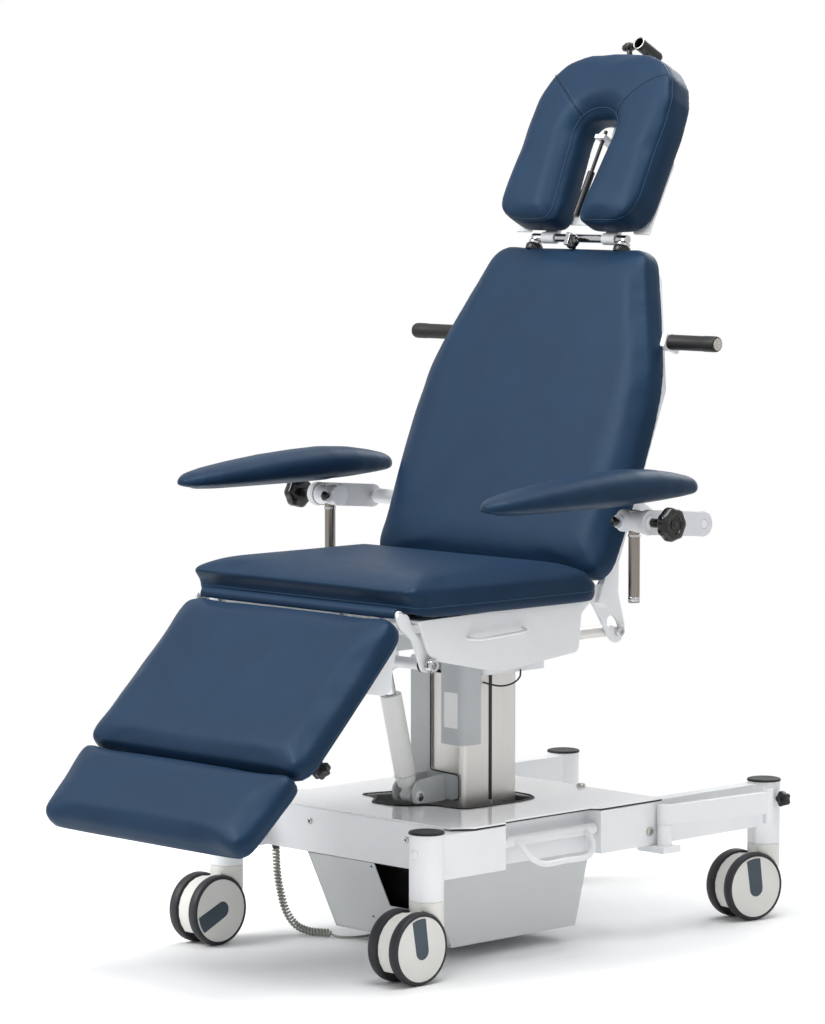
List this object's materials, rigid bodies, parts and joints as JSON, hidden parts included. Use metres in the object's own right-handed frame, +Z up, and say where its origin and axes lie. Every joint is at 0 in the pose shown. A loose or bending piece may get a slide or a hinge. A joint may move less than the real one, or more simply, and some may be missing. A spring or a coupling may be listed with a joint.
{
  "type": "patient recliner chair",
  "caption": "Wheeled powered treatment chair with a lifting column, tilting seat, reclining back, jointed leg rest, slotted head rest and adjustable padded arms.",
  "frame": {"origin": "on the floor, under the middle of the bounding box of the chair without its coiled cord", "axes": "+Z up, the patient faces -Y, +X is the left-hand side of the patient"},
  "size_m": [0.964, 1.3302, 1.6113],
  "materials": {
    "white_paint": "white powder coat",
    "gloss_cover": "high gloss white",
    "grey_paint": "light grey powder coat",
    "grey_sheet": "satin grey coat",
    "grey_arm": "pale grey coat",
    "ivory_paint": "satin ivory coat",
    "grey_plastic": "satin moulded",
    "stainless": "brushed",
    "chrome": "polished",
    "vinyl": "smooth navy upholstery vinyl",
    "black_plastic": "satin moulded",
    "rubber": "fine matt grip",
    "cord": "matt grey jacket",
    "castor_hood": "satin moulded",
    "castor_wheel": "discs with a dark rim"
  },
  "bodies": {
    "base": {"chassis": "white_paint", "cover_plate": "gloss_cover", "belly_pan": "grey_paint", "battery_box": "black_plastic", "guide_column": "stainless", "pole_bracket": "white_paint", "cord_gland": "black_plastic", "coiled_cord": "cord", "cord_lead": "cord"},
    "column": {"outer_column": "stainless", "actuator_bracket": "grey_sheet", "motor_housing": "grey_plastic", "column_head": "white_paint"},
    "tilt_cylinder_body": {"tilt_cylinder": "ivory_paint"},
    "tilt_rod_body": {"tilt_rod": "chrome"},
    "seat": {"seat_frame": "white_paint", "seat_pan": "white_paint", "seat_cushion": "vinyl", "leg_actuator": "grey_plastic", "back_actuator": "grey_plastic"},
    "leg": {"leg_frame": "white_paint", "leg_cushion": "vinyl", "knee_roll": "vinyl"},
    "leg_rod_body": {"leg_rod": "chrome"},
    "foot": {"foot_frame": "white_paint", "foot_cushion": "vinyl"},
    "foot_knob_body": {"foot_knob": "black_plastic"},
    "back": {"back_frame": "white_paint", "back_cushion": "vinyl", "push_grip_left": "rubber", "push_grip_right": "rubber"},
    "back_yoke": {"back_push_yoke": "stainless"},
    "head_slide": {"head_posts": "chrome"},
    "head_knob": {"head_clamp_knob": "black_plastic"},
    "head": {"head_frame": "white_paint", "head_cushion": "vinyl", "head_strut": "black_plastic", "head_handle": "black_plastic"},
    "pole_arm_body": {"pole_arm": "white_paint"},
    "pole_knob_body": {"pole_knob": "black_plastic"},
    "arm_left": {"arm_carrier_left": "grey_arm"},
    "arm_hub_left_body": {"arm_hub_left": "white_paint"},
    "arm_knob_left_body": {"arm_knob_left": "black_plastic"},
    "arm_post_left_body": {"arm_post_left": "stainless"},
    "arm_pad_left_body": {"arm_pad_left": "vinyl"},
    "pedal_left": {"brake_pedal_left": "white_paint"},
    "arm_right": {"arm_carrier_right": "grey_arm"},
    "arm_hub_right_body": {"arm_hub_right": "white_paint"},
    "arm_knob_right_body": {"arm_knob_right": "black_plastic"},
    "arm_post_right_body": {"arm_post_right": "stainless"},
    "arm_pad_right_body": {"arm_pad_right": "vinyl"},
    "pedal_right": {"brake_pedal_right": "white_paint"},
    "castor_front_left": {"castor_fork_front_left": "castor_hood"},
    "wheels_front_left": {"castor_wheels_front_left": "castor_wheel"},
    "castor_front_right": {"castor_fork_front_right": "castor_hood"},
    "wheels_front_right": {"castor_wheels_front_right": "castor_wheel"},
    "castor_rear_left": {"castor_fork_rear_left": "castor_hood"},
    "wheels_rear_left": {"castor_wheels_rear_left": "castor_wheel"},
    "castor_rear_right": {"castor_fork_rear_right": "castor_hood"},
    "wheels_rear_right": {"castor_wheels_rear_right": "castor_wheel"}
  },
  "joints": [
    {"name": "column_lift", "type": "slide", "parent": "base", "child": "column", "axis": [0, 0, 1], "range_m": [-0.04, 0.2]},
    {"name": "seat_tilt", "type": "hinge", "parent": "column", "child": "seat", "pos_m": [0, 0.18407, 0.545], "axis": [-1, 0, 0], "range_deg": [0, 15]},
    {"name": "tilt_swing", "type": "hinge", "parent": "column", "child": "tilt_cylinder_body", "pos_m": [0, -0.02593, 0.266], "axis": [1, 0, 0], "range_deg": [-4, 1]},
    {"name": "tilt_extend", "type": "slide", "parent": "tilt_cylinder_body", "child": "tilt_rod_body", "axis": [0, -0.2358, 0.9718], "range_m": [-0.002, 0.075]},
    {"name": "leg_raise", "type": "hinge", "parent": "seat", "child": "leg", "pos_m": [0, -0.29093, 0.628], "axis": [-1, 0, 0], "range_deg": [-10, 45]},
    {"name": "leg_push", "type": "slide", "parent": "seat", "child": "leg_rod_body", "axis": [0, -1, 0], "range_m": [-0.015, 0.06]},
    {"name": "foot_extend", "type": "slide", "parent": "leg", "child": "foot", "axis": [0, -0.7071, -0.7071], "range_m": [0, 0.1]},
    {"name": "foot_knob_turn", "type": "hinge", "parent": "leg", "child": "foot_knob_body", "pos_m": [0.205, -0.44437, 0.38971], "axis": [0, 0.7071, -0.7071], "range_deg": [-180, 180]},
    {"name": "back_recline", "type": "hinge", "parent": "seat", "child": "back", "pos_m": [0, 0.17107, 0.634], "axis": [-1, 0, 0], "range_deg": [0, 55]},
    {"name": "back_push", "type": "slide", "parent": "seat", "child": "back_yoke", "axis": [0, 1, 0], "range_m": [-0.09, 0.002]},
    {"name": "head_height", "type": "slide", "parent": "back", "child": "head_slide", "axis": [0, 0.3757, 0.9267], "range_m": [0, 0.08]},
    {"name": "head_knob_turn", "type": "hinge", "parent": "head_slide", "child": "head_knob", "pos_m": [0, 0.38968, 1.23705], "axis": [1, 0, 0], "range_deg": [-180, 180]},
    {"name": "head_tilt", "type": "hinge", "parent": "head_slide", "child": "head", "pos_m": [0, 0.40977, 1.244], "axis": [1, 0, 0], "range_deg": [-20, 30]},
    {"name": "arm_level_left", "type": "hinge", "parent": "back", "child": "arm_left", "pos_m": [0, 0.27907, 0.757], "axis": [1, 0, 0], "range_deg": [-10, 60]},
    {"name": "arm_pitch_left", "type": "hinge", "parent": "arm_left", "child": "arm_hub_left_body", "pos_m": [0, 0.14307, 0.768], "axis": [1, 0, 0], "range_deg": [-3, 30]},
    {"name": "arm_knob_turn_left", "type": "hinge", "parent": "arm_hub_left_body", "child": "arm_knob_left_body", "pos_m": [0, 0.14307, 0.768], "axis": [1, 0, 0], "range_deg": [-180, 180]},
    {"name": "arm_height_left", "type": "slide", "parent": "arm_hub_left_body", "child": "arm_post_left_body", "axis": [0, 0, 1], "range_m": [0, 0.08]},
    {"name": "arm_swivel_left", "type": "hinge", "parent": "arm_post_left_body", "child": "arm_pad_left_body", "pos_m": [0.384, 0.14307, 0.8], "axis": [0, 0, 1], "range_deg": [-75, 25]},
    {"name": "brake_left", "type": "hinge", "parent": "base", "child": "pedal_left", "pos_m": [0.249, 0.06957, 0.212], "axis": [0, 1, 0], "range_deg": [-15, 15]},
    {"name": "arm_level_right", "type": "hinge", "parent": "back", "child": "arm_right", "pos_m": [0, 0.27907, 0.757], "axis": [1, 0, 0], "range_deg": [-10, 60]},
    {"name": "arm_pitch_right", "type": "hinge", "parent": "arm_right", "child": "arm_hub_right_body", "pos_m": [0, 0.14307, 0.768], "axis": [1, 0, 0], "range_deg": [-3, 30]},
    {"name": "arm_knob_turn_right", "type": "hinge", "parent": "arm_hub_right_body", "child": "arm_knob_right_body", "pos_m": [0, 0.14307, 0.768], "axis": [1, 0, 0], "range_deg": [-180, 180]},
    {"name": "arm_height_right", "type": "slide", "parent": "arm_hub_right_body", "child": "arm_post_right_body", "axis": [0, 0, 1], "range_m": [0, 0.08]},
    {"name": "arm_swivel_right", "type": "hinge", "parent": "arm_post_right_body", "child": "arm_pad_right_body", "pos_m": [-0.384, 0.14307, 0.8], "axis": [0, 0, -1], "range_deg": [-75, 25]},
    {"name": "brake_right", "type": "hinge", "parent": "base", "child": "pedal_right", "pos_m": [-0.249, 0.06957, 0.212], "axis": [0, 1, 0], "range_deg": [-15, 15]},
    {"name": "castor_swivel_front_left", "type": "hinge", "parent": "base", "child": "castor_front_left", "pos_m": [0.255, -0.23193, 0.1], "axis": [0, 0, 1], "continuous": true},
    {"name": "castor_roll_front_left", "type": "hinge", "parent": "castor_front_left", "child": "wheels_front_left", "pos_m": [0.255, -0.27693, 0.0625], "axis": [1, 0, 0], "continuous": true},
    {"name": "castor_swivel_front_right", "type": "hinge", "parent": "base", "child": "castor_front_right", "pos_m": [-0.255, -0.23193, 0.1], "axis": [0, 0, 1], "continuous": true},
    {"name": "castor_roll_front_right", "type": "hinge", "parent": "castor_front_right", "child": "wheels_front_right", "pos_m": [-0.255, -0.27693, 0.0625], "axis": [1, 0, 0], "continuous": true},
    {"name": "castor_swivel_rear_left", "type": "hinge", "parent": "base", "child": "castor_rear_left", "pos_m": [0.255, 0.63507, 0.1], "axis": [0, 0, 1], "continuous": true},
    {"name": "castor_roll_rear_left", "type": "hinge", "parent": "castor_rear_left", "child": "wheels_rear_left", "pos_m": [0.24719, 0.59075, 0.0625], "axis": [0.9848, -0.1736, 0], "continuous": true},
    {"name": "castor_swivel_rear_right", "type": "hinge", "parent": "base", "child": "castor_rear_right", "pos_m": [-0.255, 0.63507, 0.1], "axis": [0, 0, 1], "continuous": true},
    {"name": "castor_roll_rear_right", "type": "hinge", "parent": "castor_rear_right", "child": "wheels_rear_right", "pos_m": [-0.255, 0.59007, 0.0625], "axis": [1, 0, 0], "continuous": true},
    {"name": "pole_swing", "type": "hinge", "parent": "base", "child": "pole_arm_body", "pos_m": [0.281, 0.33707, 0.222], "axis": [0, 0, -1], "range_deg": [0, 120]},
    {"name": "pole_knob_turn", "type": "hinge", "parent": "pole_arm_body", "child": "pole_knob_body", "pos_m": [0.303, 0.62907, 0.222], "axis": [0, 1, 0], "range_deg": [-180, 180]}
  ],
  "couplings": [
    {"joint": "tilt_swing", "follows": "seat_tilt", "ratio": -0.175},
    {"joint": "tilt_extend", "follows": "seat_tilt", "m_per_rad": 0.265},
    {"joint": "leg_push", "follows": "leg_raise", "m_per_rad": 0.071},
    {"joint": "back_push", "follows": "back_recline", "m_per_rad": -0.092},
    {"joint": "brake_right", "follows": "brake_left", "ratio": -1}
  ]
}
